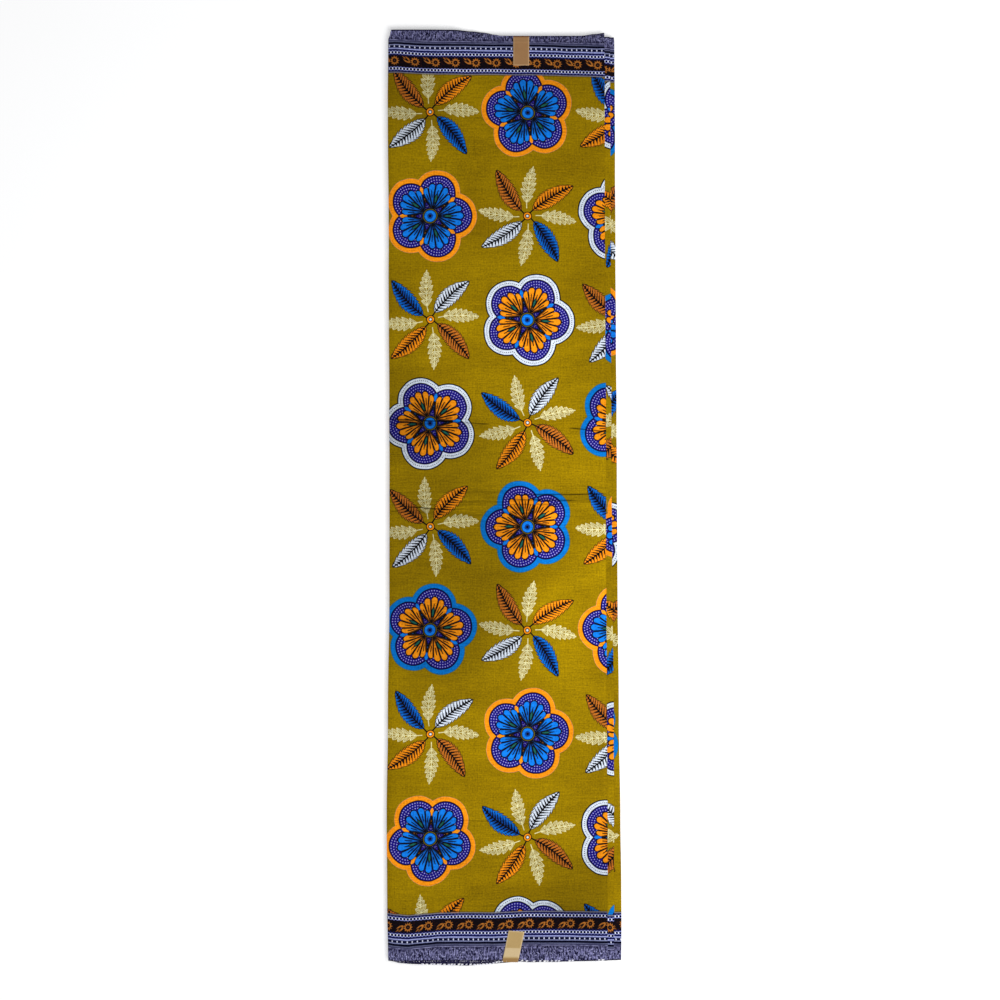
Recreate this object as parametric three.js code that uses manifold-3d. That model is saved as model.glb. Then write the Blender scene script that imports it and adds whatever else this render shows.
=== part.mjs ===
// A length of wax print cloth, folded to and fro into a long flat strip and held by two paper tapes.
// Millimetres. +Z is up, +Y runs along the folds from selvedge to selvedge, and +X points to the side
// where two fold lips step out from under the top panel.
import * as THREE from 'three';
import { mergeVertices } from 'three/addons/utils/BufferGeometryUtils.js';
import Module from 'manifold-3d';

// Thicknesses, from the top of the stack down.
const STACK_HEIGHT = 11.2;
const WALL = 1.0;
const GAP = 0.3;
const FOLD_THICKNESS = 1.6;
const TAPE_THICKNESS = 0.6;

// The cloth's behaviour at its edges.
const ROLL_RADIUS = 1.8;
const FOLD_SETBACK = 1.5;
const SELVEDGE_BEND_Y = 577.0;
const SELVEDGE_BEND_RADIUS = 2.5;
const SELVEDGE_BEYOND_BEND = 9.6;
const LEAST_CURL = 0.02;
const SHOULDER_START_X = 90;
const SHOULDER_DROP = 1.8;
const END_SLOPE_LENGTH = 32;
const END_SLOPE_DROP = 2.0;
const LOWER_END_FIT_LENGTH = 60;
const LEAF_NOTCH = 1.3;
const corner = { fromX: 96, toX: 130, fromY: 545, toY: 585, lift: 2.6 };

// How finely the solids are divided.
const COARSE_STEP = 44;
const FINE_STEP = 4.6;
const TOP_COLUMNS = 18;
const ROLL_COLUMNS = 3;
const FOLD_LEVELS = 4;
const FOLD_COLUMNS = 7;
const LEVELS_PER_LEAF = 3;
const CORE_COLUMNS = 6;
const COLUMN_CROWDING = 0.6;

// Side edges of the layers, a row for each place along the strip.
const sideRows = [
  { y: -588, left: -146.4, top: 130.9, second: 138.9, third: 147.3 },
  { y: -520, left: -147.5, top: 130.9, second: 138.9, third: 147.4 },
  { y: -400, left: -147.4, top: 130.6, second: 138.6, third: 145.8 },
  { y: -250, left: -145.2, top: 129.9, second: 138.0, third: 143.7 },
  { y: -100, left: -143.8, top: 129.0, second: 136.1, third: 142.4 },
  { y: 100, left: -143.9, top: 128.7, second: 134.4, third: 141.0 },
  { y: 300, left: -145.0, top: 127.4, second: 134.0, third: 140.0 },
  { y: 500, left: -146.3, top: 126.8, second: 133.5, third: 138.7 },
  { y: 588, left: -145.2, top: 125.6, second: 132.0, third: 136.2 },
];

// Selvedge ends of the layers, a row for each place across the strip. curl is the share of a right angle
// by which the top panel's selvedge hangs over the stack's end.
const endRows = [
  { x: -147, topLower: -583.2, secondLower: -582.0, curl: 0.0 },
  { x: -110, topLower: -583.4, secondLower: -583.0, curl: 0.0 },
  { x: -84, topLower: -583.5, secondLower: -586.8, curl: 0.1 },
  { x: -48, topLower: -583.4, secondLower: -586.0, curl: 0.25 },
  { x: -22, topLower: -583.3, secondLower: -584.4, curl: 0.8 },
  { x: 0, topLower: -583.3, secondLower: -582.6, curl: 1.0 },
  { x: 60, topLower: -583.2, secondLower: -582.0, curl: 1.0 },
  { x: 96, topLower: -582.0, secondLower: -581.6, curl: 0.9 },
  { x: 118, topLower: -581.0, secondLower: -581.2, curl: 0.45 },
  { x: 131, topLower: -580.6, secondLower: -581.0, curl: 0.2 },
  { x: 148, topLower: -580.6, secondLower: -580.8, curl: 0.2 },
];

// Upper ends of the layers below the top panel, and the lower end of the third.
const SECOND_UPPER_Y = 576.6;
const THIRD_UPPER_Y = 576.2;
const THIRD_LOWER_Y = -581.2;
const CORE_UPPER_Y = 576.4;
const CORE_LOWER_Y = -582.4;

// How far each hidden double layer stays back from the core's outline, from the floor up.
const leaves = [
  { left: 1.0, right: 4.2, upper: 1.6, lower: 2.2 },
  { left: 0.2, right: 2.4, upper: 0.3, lower: 0.4 },
  { left: 1.4, right: 5.0, upper: 2.4, lower: 1.3 },
  { left: 0.5, right: 1.2, upper: 1.0, lower: 0.2 },
  { left: 1.2, right: 3.4, upper: 0.2, lower: 2.6 },
  { left: 0.3, right: 1.8, upper: 1.9, lower: 0.9 },
  { left: 0.9, right: 3.0, upper: 0.7, lower: 1.8 },
];

// Broad hills of the loosely lying stack.
const swells = [
  { x: 50, y: -190, reachX: 120, reachY: 150, height: 0.9 },
  { x: -70, y: 270, reachX: 110, reachY: 170, height: 0.7 },
  { x: 70, y: 400, reachX: 120, reachY: 150, height: 0.5 },
  { x: -60, y: -420, reachX: 120, reachY: 140, height: 0.6 },
];

// Pressed creases that cross the top panel, left by an earlier folding across the strip.
const creases = [
  { fromX: -146, fromY: 97, toX: -18, toY: 91, height: 1.5, width: 6.0 },
  { fromX: 84, fromY: 86, toX: 132, toY: 81, height: 1.1, width: 6.0 },
  { fromX: -99, fromY: -14, toX: -60, toY: -17, height: 0.9, width: 6.0 },
  { fromX: 6, fromY: 1, toX: 132, toY: 3, height: 1.2, width: 5.0 },
  { fromX: -120, fromY: -405, toX: 60, toY: -408, height: 0.6, width: 8.0 },
];

// Stretches along the strip where the top panel is divided finely, for its creases.
const creaseBands = [
  { from: 74, to: 106 },
  { from: -24, to: 12 },
  { from: -418, to: -395 },
];

// Distances from each end of the strip where every layer has a division.
const END_DIVISIONS = [0, 8, 16, 24, 32];

// The tapes: where each one's middle starts on the top panel and where it crosses the end.
const TAPE_WIDTH = 20;
const TAPE_FOOT = 24;
const POCKET_DEPTH = 0.95;
const POCKET_SIDE_ROOM = 0.8;
const POCKET_END_ROOM = 2;
const TAPE_FOOT_RADIUS = 1;
const TAPE_COLUMNS = 4;
const TAPE_LEG_SHARES = [1, 0.75, 0.5, 0.25, 0];
const TAPE_CORNER_TURNS = [Math.PI / 6, Math.PI / 3, Math.PI / 2];
const tapes = {
  tape_top: { startX: 22.2, startY: 541.1, endX: 22.2, endY: 579.8, cornerRadius: 2.8 },
  tape_bottom: { startX: 16.4, startY: -545.6, endX: 8.2, endY: -583.9, cornerRadius: 0.9 },
};

const clothMaterial = new THREE.MeshStandardMaterial({ color: 0x8f7408, roughness: 0.85, metalness: 0 });
const edgeMaterial = new THREE.MeshStandardMaterial({ color: 0x7d6506, roughness: 0.9, metalness: 0 });
const tapeMaterial = new THREE.MeshStandardMaterial({ color: 0xa98352, roughness: 0.7, metalness: 0 });

const mix = (a, b, share) => a + (b - a) * share;
const clamp01 = (value) => Math.min(1, Math.max(0, value));
const smooth = (value) => {
  const t = clamp01(value);
  return t * t * (3 - 2 * t);
};

// Value of a named column of a table, eased between the rows on either side of a place.
function lookUp(rows, key, column, place) {
  const last = rows.length - 1;
  if (place <= rows[0][key]) {
    return rows[0][column];
  }
  for (let i = 0; i < last; i += 1) {
    const low = rows[i];
    const high = rows[i + 1];
    if (place <= high[key]) {
      return mix(low[column], high[column], smooth((place - low[key]) / (high[key] - low[key])));
    }
  }
  return rows[last][column];
}

const sideAt = (column, y) => lookUp(sideRows, 'y', column, y);
const endAt = (column, x) => lookUp(endRows, 'x', column, x);

// Height of the stack's top where nothing creases or lifts it.
function stackTop(x, y) {
  let height = STACK_HEIGHT;
  for (const hill of swells) {
    const away = Math.hypot((x - hill.x) / hill.reachX, (y - hill.y) / hill.reachY);
    height += hill.height * smooth(1 - away);
  }
  const shoulder = Math.max(0, x - SHOULDER_START_X) / (sideRows[0].third - SHOULDER_START_X);
  const fromEnd = Math.min(CORE_UPPER_Y - y, y - CORE_LOWER_Y);
  const slope = clamp01(1 - fromEnd / END_SLOPE_LENGTH);
  return height - SHOULDER_DROP * shoulder ** 2 - END_SLOPE_DROP * slope ** 2;
}

// How far a crease raises the cloth at a point: a ridge along a line, fading beyond both its ends.
function creaseRise(crease, x, y) {
  const runX = crease.toX - crease.fromX;
  const runY = crease.toY - crease.fromY;
  const along = clamp01(((x - crease.fromX) * runX + (y - crease.fromY) * runY) / (runX ** 2 + runY ** 2));
  const away = Math.hypot(x - crease.fromX - along * runX, y - crease.fromY - along * runY);
  return crease.height * smooth(1 - away / (2 * crease.width));
}

// How far the top panel stands above the stack: its creases, and the free corner that lifts.
function topPanelRise(x, y) {
  let rise = 0;
  for (const crease of creases) {
    rise = Math.max(rise, creaseRise(crease, x, y));
  }
  const acrossShare = (x - corner.fromX) / (corner.toX - corner.fromX);
  const alongShare = (y - corner.fromY) / (corner.toY - corner.fromY);
  return rise + corner.lift * smooth(acrossShare) * smooth(alongShare);
}

const panelTop = (x, y) => stackTop(x, y) + topPanelRise(x, y);

// Divisions along the strip: even steps, close steps inside each band, and those near the ends.
function divisions(bands) {
  const low = CORE_LOWER_Y;
  const high = CORE_UPPER_Y;
  const places = END_DIVISIONS.flatMap((away) => [low + away, high - away]);
  const inner = END_DIVISIONS[END_DIVISIONS.length - 1];
  const spans = Math.round((high - low - 2 * inner) / COARSE_STEP);
  for (let i = 1; i < spans; i += 1) {
    const y = mix(low + inner, high - inner, i / spans);
    if (!bands.some((band) => y > band.from - FINE_STEP && y < band.to + FINE_STEP)) {
      places.push(y);
    }
  }
  for (const band of bands) {
    const steps = Math.round((band.to - band.from) / FINE_STEP);
    for (let i = 0; i <= steps; i += 1) {
      places.push(mix(band.from, band.to, i / steps));
    }
  }
  return places.sort((a, b) => a - b);
}

// Closed solid with the surface of a bent box: place(i, j, k) gives each lattice point.
function latticeGeometry(columns, rows, levels, place) {
  const positions = [];
  const index = [];
  const sheet = (acrossCount, alongCount, cell, flipped) => {
    const first = positions.length / 3;
    for (let a = 0; a <= acrossCount; a += 1) {
      for (let b = 0; b <= alongCount; b += 1) {
        positions.push(...place(...cell(a, b)));
      }
    }
    for (let a = 0; a < acrossCount; a += 1) {
      for (let b = 0; b < alongCount; b += 1) {
        const near = first + a * (alongCount + 1) + b;
        const far = near + alongCount + 1;
        const corners = flipped ? [near, near + 1, far + 1, far] : [near, far, far + 1, near + 1];
        index.push(corners[0], corners[1], corners[2], corners[0], corners[2], corners[3]);
      }
    }
  };
  sheet(columns, rows, (a, b) => [a, b, levels], false);
  sheet(columns, rows, (a, b) => [a, b, 0], true);
  sheet(rows, levels, (a, b) => [columns, a, b], false);
  sheet(rows, levels, (a, b) => [0, a, b], true);
  sheet(levels, columns, (a, b) => [b, rows, a], false);
  sheet(levels, columns, (a, b) => [b, 0, a], true);
  const geometry = new THREE.BufferGeometry();
  geometry.setAttribute('position', new THREE.Float32BufferAttribute(positions, 3));
  geometry.setIndex(index);
  return mergeVertices(geometry, 1e-4);
}

function namedMesh(name, geometry, material) {
  geometry.computeVertexNormals();
  const mesh = new THREE.Mesh(geometry, material.clone());
  mesh.name = name;
  return mesh;
}

// The top panel: one wall of cloth. Its left side rolls down as the first fold, its right side is the
// cloth's cut end, and its upper selvedge hangs over the stack's end by the curl of the table.
function makeTopPanel() {
  const inner = divisions(creaseBands).filter((y) => y < SELVEDGE_BEND_Y - FINE_STEP);
  const arcShares = [0, 1 / 3, 2 / 3, 1];
  const hangShares = [0.5, 1];
  const rows = inner.length + arcShares.length + hangShares.length - 1;
  const columns = ROLL_COLUMNS + TOP_COLUMNS;
  const arcLength = SELVEDGE_BEND_RADIUS * Math.PI / 2;

  // Where a point of a row lies along Y, how far it has bent down, and the bend's angle there.
  const alongStrip = (j, x) => {
    const lowerShift = endAt('topLower', x) - CORE_LOWER_Y;
    if (j < inner.length) {
      const fitShare = clamp01(1 - (inner[j] - CORE_LOWER_Y) / LOWER_END_FIT_LENGTH);
      return { y: inner[j] + lowerShift * fitShare, drop: 0, angle: 0 };
    }
    const step = j - inner.length;
    const turn = Math.max(LEAST_CURL, endAt('curl', x)) * Math.PI / 2;
    const radius = arcLength / turn;
    const inArc = step < arcShares.length;
    const angle = turn * (inArc ? arcShares[step] : 1);
    const hang = inArc ? 0 : hangShares[step - arcShares.length] * (SELVEDGE_BEYOND_BEND - arcLength);
    const y = SELVEDGE_BEND_Y + radius * Math.sin(angle) + hang * Math.cos(turn);
    const drop = radius * (1 - Math.cos(angle)) + hang * Math.sin(turn);
    return { y, drop, angle };
  };

  const place = (i, j, k) => {
    const depth = k === 1 ? 0 : WALL;
    const flatShare = Math.max(0, i - ROLL_COLUMNS) / TOP_COLUMNS;
    const nominalX = mix(sideRows[0].left + ROLL_RADIUS, sideRows[0].top, flatShare);
    const { y, drop, angle } = alongStrip(j, nominalX);
    const left = sideAt('left', y) + ROLL_RADIUS;
    const x = mix(left, sideAt('top', y), flatShare);
    const surface = panelTop(x, Math.min(y, SELVEDGE_BEND_Y)) - drop;
    const roll = (1 - Math.min(i, ROLL_COLUMNS) / ROLL_COLUMNS) * Math.PI / 2;
    const radius = ROLL_RADIUS - depth;
    const below = roll > 0 ? ROLL_RADIUS - radius * Math.cos(roll) : depth * Math.cos(angle);
    return [x - radius * Math.sin(roll), y - depth * Math.sin(angle), surface - below];
  };
  return namedMesh('panel_top', latticeGeometry(columns, rows, 1, place), clothMaterial);
}

// A double layer behind a fold lip, rounded at the lip and at its other side.
function makeFold(name, lipColumn, depth, upperY, lowerAt) {
  const places = divisions([]);
  const rows = places.length - 1;
  const radius = FOLD_THICKNESS / 2;
  const place = (i, j, k) => {
    const across = crowdColumns(i / FOLD_COLUMNS);
    const nominalX = mix(sideRows[0].left, sideRows[0].third, across);
    const length = places[j] > 0 ? upperY / CORE_UPPER_Y : lowerAt(nominalX) / CORE_LOWER_Y;
    const y = places[j] * length;
    const turn = (k / FOLD_LEVELS - 0.5) * Math.PI;
    const tuck = radius * (1 - Math.cos(turn));
    const left = sideAt('left', y) + FOLD_SETBACK;
    const right = sideAt(lipColumn, y);
    let x = mix(left, right, across);
    const middle = stackTop(x, y) - depth - radius;
    if (i === 0) {
      x += tuck;
    }
    if (i === FOLD_COLUMNS) {
      x -= tuck;
    }
    return [x, y, middle + radius * Math.sin(turn)];
  };
  return namedMesh(name, latticeGeometry(FOLD_COLUMNS, rows, FOLD_LEVELS, place), edgeMaterial);
}

// Column shares crowd towards the lips, where the layers step down.
const crowdColumns = (share) => mix(share, Math.sin(share * Math.PI / 2), COLUMN_CROWDING);

// The hidden layers as one solid with a flat underside. Its sides and ends are layered: each double
// layer has a rounded edge of its own reach, with a notch between neighbours.
function makeCore(Manifold, Mesh) {
  const places = divisions([]);
  const rows = places.length - 1;
  const levels = leaves.length * LEVELS_PER_LEAF;
  const levelShares = [0, 0.28, 0.72];
  const depth = WALL + 2 * FOLD_THICKNESS + 3 * GAP;

  const setBack = (side, k) => {
    const leaf = Math.floor(k / LEVELS_PER_LEAF);
    if (k % LEVELS_PER_LEAF !== 0) {
      return leaves[leaf][side];
    }
    const below = leaves[Math.max(0, leaf - 1)][side];
    const above = leaves[Math.min(leaves.length - 1, leaf)][side];
    return Math.max(below, above) + LEAF_NOTCH;
  };

  const place = (i, j, k) => {
    const across = crowdColumns(i / CORE_COLUMNS);
    const leaf = Math.floor(k / LEVELS_PER_LEAF);
    const heightShare = (leaf + levelShares[k % LEVELS_PER_LEAF]) / leaves.length;
    let y = places[j];
    if (j === 0) {
      y += setBack('lower', k);
    }
    if (j === rows) {
      y -= setBack('upper', k);
    }
    const left = sideAt('left', y) + (i === 0 ? setBack('left', k) : 0);
    const right = sideAt('third', y) - (i === CORE_COLUMNS ? setBack('right', k) : 0);
    const x = mix(left, right, across);
    return [x, y, (stackTop(x, y) - depth) * heightShare];
  };
  const geometry = latticeGeometry(CORE_COLUMNS, rows, levels, place);

  let solid = toManifold(geometry, Manifold, Mesh);
  for (const tape of Object.values(tapes)) {
    solid = solid.subtract(toManifold(pocketGeometry(tape), Manifold, Mesh));
  }
  return namedMesh('layers_hidden', fromManifold(solid), edgeMaterial);
}

// The space under the stack's end that a tape's foot lies in.
function pocketGeometry(tape) {
  const width = TAPE_WIDTH + 2 * POCKET_SIDE_ROOM;
  const inward = -Math.sign(tape.endY);
  const reach = TAPE_FOOT + POCKET_END_ROOM;
  const pocket = new THREE.BoxGeometry(width, 2 * reach, 2 * POCKET_DEPTH);
  pocket.translate(tape.endX, tape.endY + inward * GAP, 0);
  pocket.deleteAttribute('normal');
  pocket.deleteAttribute('uv');
  return mergeVertices(pocket, 1e-4);
}

// A strip of paper tape: along the top panel, round the stack's end, and under it into the pocket.
function makeTape(name, tape) {
  const inward = -Math.sign(tape.endY);
  const leg = Math.abs(tape.endY - tape.startY);
  const radius = tape.cornerRadius;
  const endTop = panelTop(tape.endX, tape.endY + inward * radius) + GAP;

  // Route seen from the side: away is the distance in from the end, up is the height of the tape's
  // inner face, and turn is the angle that its outward direction has turned from straight up.
  const route = [];
  for (const share of TAPE_LEG_SHARES) {
    route.push({ away: mix(radius, leg, share), up: null, turn: 0 });
  }
  for (const turn of TAPE_CORNER_TURNS) {
    const up = endTop - radius * (1 - Math.cos(turn));
    route.push({ away: radius * (1 - Math.sin(turn)), up, turn });
  }
  route.push({ away: 0, up: TAPE_THICKNESS + TAPE_FOOT_RADIUS, turn: Math.PI / 2 });
  const footCorner = TAPE_FOOT_RADIUS * (1 - Math.SQRT1_2);
  route.push({ away: footCorner, up: TAPE_THICKNESS + footCorner, turn: Math.PI * 3 / 4 });
  route.push({ away: TAPE_FOOT_RADIUS, up: TAPE_THICKNESS, turn: Math.PI });
  route.push({ away: TAPE_FOOT, up: TAPE_THICKNESS, turn: Math.PI });

  const place = (i, j, k) => {
    const stop = route[route.length - 1 - j];
    const slant = (tape.startX - tape.endX) * clamp01(stop.away / leg) * (stop.up === null ? 1 : 0);
    const x = tape.endX + slant + TAPE_WIDTH * (i / TAPE_COLUMNS - 0.5) * inward;
    const y = tape.endY + inward * stop.away;
    const up = stop.up === null ? panelTop(x, y) + GAP : stop.up;
    const outward = k * TAPE_THICKNESS;
    return [x, y - inward * outward * Math.sin(stop.turn), up + outward * Math.cos(stop.turn)];
  };
  return namedMesh(name, latticeGeometry(TAPE_COLUMNS, route.length - 1, 1, place), tapeMaterial);
}

function toManifold(geometry, Manifold, Mesh) {
  const numProp = 3;
  const vertProperties = Float32Array.from(geometry.attributes.position.array);
  const triVerts = Uint32Array.from(geometry.index.array);
  return new Manifold(new Mesh({ numProp, vertProperties, triVerts }));
}

function fromManifold(solid) {
  const mesh = solid.getMesh();
  const geometry = new THREE.BufferGeometry();
  geometry.setAttribute('position', new THREE.Float32BufferAttribute(mesh.vertProperties, mesh.numProp));
  geometry.setIndex(Array.from(mesh.triVerts));
  return geometry;
}

const wasm = await Module();
wasm.setup();

const secondDepth = WALL + GAP;
const thirdDepth = secondDepth + FOLD_THICKNESS + GAP;
const stack = new THREE.Group();
stack.add(makeTopPanel());
stack.add(makeFold('fold_second', 'second', secondDepth, SECOND_UPPER_Y, (x) => endAt('secondLower', x)));
stack.add(makeFold('fold_third', 'third', thirdDepth, THIRD_UPPER_Y, () => THIRD_LOWER_Y));
stack.add(makeCore(wasm.Manifold, wasm.Mesh));
for (const [name, tape] of Object.entries(tapes)) {
  stack.add(makeTape(name, tape));
}

// The origin is the middle of the strip's outline, on the surface that it lies on.
const middle = new THREE.Box3().setFromObject(stack).getCenter(new THREE.Vector3());
stack.position.set(-middle.x, -middle.y, 0);
const fabric = new THREE.Group();
fabric.add(stack);

export default fabric;
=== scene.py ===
"""Wax print cloth, folded to and fro into a long flat strip and held by two paper tapes."""

import math
import random

import bpy
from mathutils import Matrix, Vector, noise


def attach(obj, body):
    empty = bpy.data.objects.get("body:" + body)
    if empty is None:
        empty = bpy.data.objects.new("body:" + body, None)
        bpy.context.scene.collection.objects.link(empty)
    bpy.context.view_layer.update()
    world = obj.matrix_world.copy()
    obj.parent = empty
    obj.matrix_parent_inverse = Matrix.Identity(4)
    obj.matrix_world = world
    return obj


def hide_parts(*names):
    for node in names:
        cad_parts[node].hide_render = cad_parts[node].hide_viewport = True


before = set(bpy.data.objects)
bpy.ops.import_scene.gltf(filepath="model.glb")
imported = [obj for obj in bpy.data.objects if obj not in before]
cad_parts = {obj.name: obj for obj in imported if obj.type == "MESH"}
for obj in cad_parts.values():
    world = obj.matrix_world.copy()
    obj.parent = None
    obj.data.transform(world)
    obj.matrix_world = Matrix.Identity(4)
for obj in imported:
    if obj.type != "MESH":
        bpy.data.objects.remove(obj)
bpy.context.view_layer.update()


def table(names, rows):
    """Rows of values as dictionaries that share their names."""
    return [dict(zip(names.split(), row)) for row in rows]


# ---- Sizes, in millimetres, in the frame's own axes ----
MM = 0.001
SEED = 19
CLOTH_THICKNESS = 0.3
STACK_HEIGHT = 11.2
LOWEST_LAYER = 0.2
LAYER_COUNT = 19
UPPER_LAYERS = 5

SHOULDER_START_X = 90.0
SHOULDER_END_X = 147.4
SHOULDER_DROP = 1.8
FOLD_SHOULDER_WIDTH = 11.0
FOLD_SHOULDER_DROP = 3.0
END_SLOPE_LENGTH = 32.0
END_SLOPE_DROP = 1.5
UPPER_STACK_END = 576.4
LOWER_STACK_END = -582.4

# The top panel's upper selvedge hangs over the stack's end from this place on.
SELVEDGE_BEND_Y = 577.0
SELVEDGE_BEND_RADIUS = 2.0
UPPER_SELVEDGE = 586.6
LEAST_CURL = 0.02
CORNER = dict(from_x=96.0, to_x=130.0, from_y=545.0, to_y=585.0, lift=2.6)

# Side edges of the layers, a row for each place along the strip.
SIDE_ROWS = table("y left top second third", [
    (-588, -144.6, 130.9, 138.9, 148.0), (-520, -145.9, 130.9, 138.9, 148.2),
    (-400, -146.4, 130.6, 138.8, 146.9), (-290, -145.2, 130.1, 138.4, 145.0),
    (-100, -143.2, 129.0, 136.6, 143.2), (100, -143.3, 128.7, 135.2, 141.9),
    (300, -144.2, 127.4, 134.4, 140.6), (500, -145.3, 127.0, 134.0, 139.6),
    (574, -144.9, 126.8, 133.6, 139.2), (582, -142.4, 126.8, 133.4, 138.9),
    (588, -140.9, 126.8, 133.4, 138.8),
])

# The top panel's lower end, a row for each place across the strip: where its selvedge lies, and how
# far the second layer's selvedge peeks out below it.
END_ROWS = table("x lower peek", [
    (-147, -583.4, 0.0), (-138, -583.8, 0.6), (-130, -584.5, 1.8), (-119, -584.3, 3.0),
    (-102, -583.7, 5.0), (-36, -583.6, 5.6), (-20, -583.4, 4.7), (-6, -583.1, 2.8),
    (2, -583.0, 1.6), (20, -583.9, 0.8), (33, -584.9, 0.0), (74, -584.4, 0.0),
    (96, -583.7, 0.0), (131, -583.1, 0.0),
])
PEEK_JOIN = 0.8

# The share of a right angle that the top panel's upper selvedge hangs by.
CURL_ROWS = table("x curl", [
    (-104, 0.0), (-66, 0.08), (-40, 0.42), (-24, 0.58), (-12, 0.78),
    (0, 0.95), (10, 1.0), (92, 1.0), (116, 0.66), (131, 0.36),
])

# How far the printed borders bow off straight across the top panel.
BOW_ROWS = table("x upper lower", [
    (-146, 3.1, -2.7), (-134, 3.1, -3.9), (-121, 2.2, -4.8), (-108, 1.4, -3.8),
    (-97, 1.1, -2.9), (-80, 0.7, -1.6), (-50, 0.2, -1.0), (-14, 0.0, -1.4),
    (30, -0.3, 0.5), (60, -1.0, 0.4), (90, -2.1, 0.2), (131, -2.7, -0.5),
])
BOW_START = 300.0
BOW_LENGTH = 200.0

# The free ends and fold lips of the cloth in order from the top panel's cut edge. inset is how far
# each lies inside its side's outline, upper and lower are where the selvedge crosses it, and
# upper_slip and lower_slip are how far the print there has slipped along the strip.
TURNS = table("side inset upper lower upper_slip lower_slip", [
    ("top", 0.0, 586.6, -580.6, 0.0, 0.0),
    ("left", 0.0, 586.6, -583.2, 0.0, 0.0),
    ("second", 0.0, 577.6, -582.6, -8.1, -5.3),
    ("left", 1.1, 576.8, -583.0, -7.0, -2.5),
    ("third", 0.0, 577.2, -582.8, -8.8, -1.6),
    ("left", 0.7, 576.0, -582.4, -6.0, 0.5),
])
HIDDEN_LEFT = dict(side="left", least=0.5, most=2.2)
HIDDEN_RIGHT = dict(side="third", least=1.6, most=5.0)
HIDDEN_UPPER = (573.4, 576.2)
HIDDEN_LOWER = (-582.2, -579.4)

# Broad hills of the loosely lying stack.
SWELLS = table("x y reach_x reach_y height", [
    (50, -190, 120, 150, 0.9), (-70, 270, 110, 170, 0.7),
    (70, 400, 120, 150, 0.5), (-60, -420, 120, 140, 0.6),
])

# Pressed creases across the strip: a ridge with a soft trough beside it.
CREASES = table("from_x from_y to_x to_y height width", [
    (-146, 97, -60, 93.5, 1.3, 3.2), (-66, 94, -16, 90.5, 0.9, 2.4),
    (80, 86.5, 134, 81, 1.0, 3.0), (-128, -12.5, -60, -17, 1.1, 2.6),
    (6, 1.9, 134, 3.1, 1.0, 2.4), (6, -4.0, 96, -5.0, 0.7, 2.0),
    (2, -10.0, 78, -9.2, 0.5, 2.0), (2, -20.5, 40, -21, 0.6, 2.0),
    (-120, -405, 60, -408, 0.35, 4.5), (-60, -512, 100, -515, 0.3, 4.5),
])
CREASE_BANDS = [(76, 104), (-28, 9), (-416, -398), (-524, -504)]
RELIEF_FADE = 0.72
RIPPLE_HEIGHT = 0.22
RIPPLE_LENGTH = 55.0
CREASE_REACH = 45
EDGE_WAVE = 0.5

# Creases vanish where the stack is lower than FLAT_BELOW, and are whole FADE_HEIGHT above that.
FLAT_BELOW = 5.0
FADE_HEIGHT = 3.0

# Divisions of the meshes.
COARSE_ROW = 6.5
FINE_ROW = 1.5
END_ROW = 1.2
END_ZONE = 19.0
TOP_COLUMN = 5.0
TOP_PANEL_WIDTH = 275
FOLD_STEPS = 6
PANEL_SHARES = [0.0, 0.006, 0.02, 0.045, 0.1, 0.35, 0.65, 0.9, 0.955, 0.98, 0.994, 1.0]
TOP_LIP_GAPS = (0.028, 0.018, 0.010, 0.004, 0.0)
HIDDEN_PRINT_START = 1300.0
HIDDEN_COARSE_ROW = 14.0
FOLD_BULGE = 1.7
FAR_FROM_RIM = 50.0


def mix(a, b, share):
    return a + (b - a) * share


def clamp01(value):
    return min(1.0, max(0.0, value))


def smooth(value):
    t = clamp01(value)
    return t * t * (3 - 2 * t)


def look_up(rows, column, place):
    """A named column's value at a place in the first column, eased between the rows around it."""
    key = next(iter(rows[0]))
    if place <= rows[0][key]:
        return rows[0][column]
    for low, high in zip(rows, rows[1:]):
        if place <= high[key]:
            return mix(low[column], high[column], smooth((place - low[key]) / (high[key] - low[key])))
    return rows[-1][column]


# ---- The stack's form ----
def stack_top(x, y):
    """Height of the stack where nothing creases or lifts it."""
    height = STACK_HEIGHT
    for hill in SWELLS:
        away = math.hypot((x - hill["x"]) / hill["reach_x"], (y - hill["y"]) / hill["reach_y"])
        height += hill["height"] * smooth(1 - away)
    shoulder = max(0.0, x - SHOULDER_START_X) / (SHOULDER_END_X - SHOULDER_START_X)
    from_end = min(UPPER_STACK_END - y, y - LOWER_STACK_END)
    slope = clamp01(1 - from_end / END_SLOPE_LENGTH)
    from_left = x - look_up(SIDE_ROWS, "left", y)
    rolled = clamp01(1 - from_left / FOLD_SHOULDER_WIDTH)
    height -= FOLD_SHOULDER_DROP * (1 - math.sqrt(1 - 0.98 * rolled ** 2))
    return height - SHOULDER_DROP * shoulder ** 2 - END_SLOPE_DROP * slope ** 2


def crease_run(crease):
    """How far a crease goes in X and Y, and its length squared."""
    run_x = crease["to_x"] - crease["from_x"]
    run_y = crease["to_y"] - crease["from_y"]
    return run_x, run_y, run_x ** 2 + run_y ** 2


def crease_relief(crease, x, y):
    run_x, run_y, span = crease_run(crease)
    along = ((x - crease["from_x"]) * run_x + (y - crease["from_y"]) * run_y) / span
    wander = 0.4 * noise.noise(Vector((x * 0.02, crease["from_y"], 0.0)))
    away = y - crease["from_y"] - along * run_y - wander
    fade = smooth(along * 6 + 0.7) * smooth((1 - along) * 6 + 0.7)
    ridge = math.exp(-((away / crease["width"]) ** 2))
    trough = math.exp(-(((away + 2.6 * crease["width"]) / (1.8 * crease["width"])) ** 2))
    return crease["height"] * fade * (ridge - 0.45 * trough)


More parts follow.
